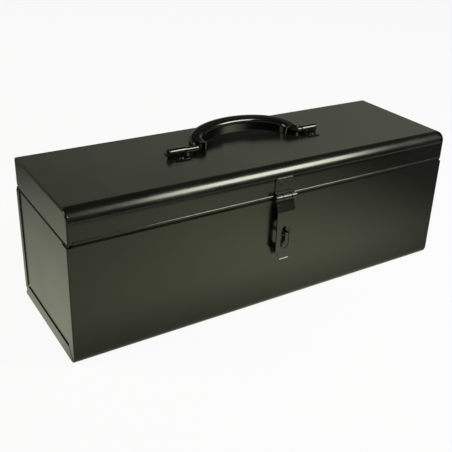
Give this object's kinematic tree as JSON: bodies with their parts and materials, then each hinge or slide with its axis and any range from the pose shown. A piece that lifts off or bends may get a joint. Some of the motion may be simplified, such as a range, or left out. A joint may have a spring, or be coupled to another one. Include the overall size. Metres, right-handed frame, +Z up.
{
  "type": "steel tool box",
  "caption": "Long black sheet-steel tool box with a hinged overlapping lid, a hasp over a wire staple and a folding pressed-channel carrying handle.",
  "frame": {"origin": "middle of the flat base, on the surface that the box stands on", "axes": "+X along the length, -Y the front with the hasp, +Z up"},
  "size_m": [0.452, 0.1596, 0.1736],
  "materials": {
    "box_enamel": "semi-gloss black stoving enamel on steel sheet",
    "lid_enamel": "semi-gloss black stoving enamel on steel sheet",
    "hardware_enamel": "gloss black enamel on steel",
    "handle_enamel": "deep gloss black enamel on steel"
  },
  "bodies": {
    "box": {"body_wrapper": "box_enamel", "left_end_panel": "box_enamel", "right_end_panel": "box_enamel", "left_hinge_body_leaf": "hardware_enamel", "right_hinge_body_leaf": "hardware_enamel", "left_hinge_pin": "hardware_enamel", "right_hinge_pin": "hardware_enamel", "staple_plate": "hardware_enamel", "staple_loop": "hardware_enamel"},
    "lid": {"lid_shell": "lid_enamel", "left_hinge_lid_leaf": "hardware_enamel", "right_hinge_lid_leaf": "hardware_enamel", "hasp_plate": "hardware_enamel", "hasp_pin": "hardware_enamel", "left_saddle": "handle_enamel", "right_saddle": "handle_enamel", "left_saddle_rivets": "handle_enamel", "right_saddle_rivets": "handle_enamel", "left_backing_plate": "lid_enamel", "right_backing_plate": "lid_enamel"},
    "hasp": {"hasp_strap": "hardware_enamel"},
    "handle": {"handle_bail": "handle_enamel", "handle_grip": "handle_enamel"}
  },
  "joints": [
    {"name": "lid_hinge", "type": "hinge", "parent": "box", "child": "lid", "pos_m": [0, 0.0742, 0.1257], "axis": [-1, 0, 0], "range_deg": [0, 175]},
    {"name": "hasp_swing", "type": "hinge", "parent": "lid", "child": "hasp", "pos_m": [0, -0.0762, 0.127], "axis": [-1, 0, 0], "range_deg": [-5, 165]},
    {"name": "handle_swing", "type": "hinge", "parent": "lid", "child": "handle", "pos_m": [0, 0.0017, 0.162], "axis": [1, 0, 0], "range_deg": [0, 165]}
  ]
}
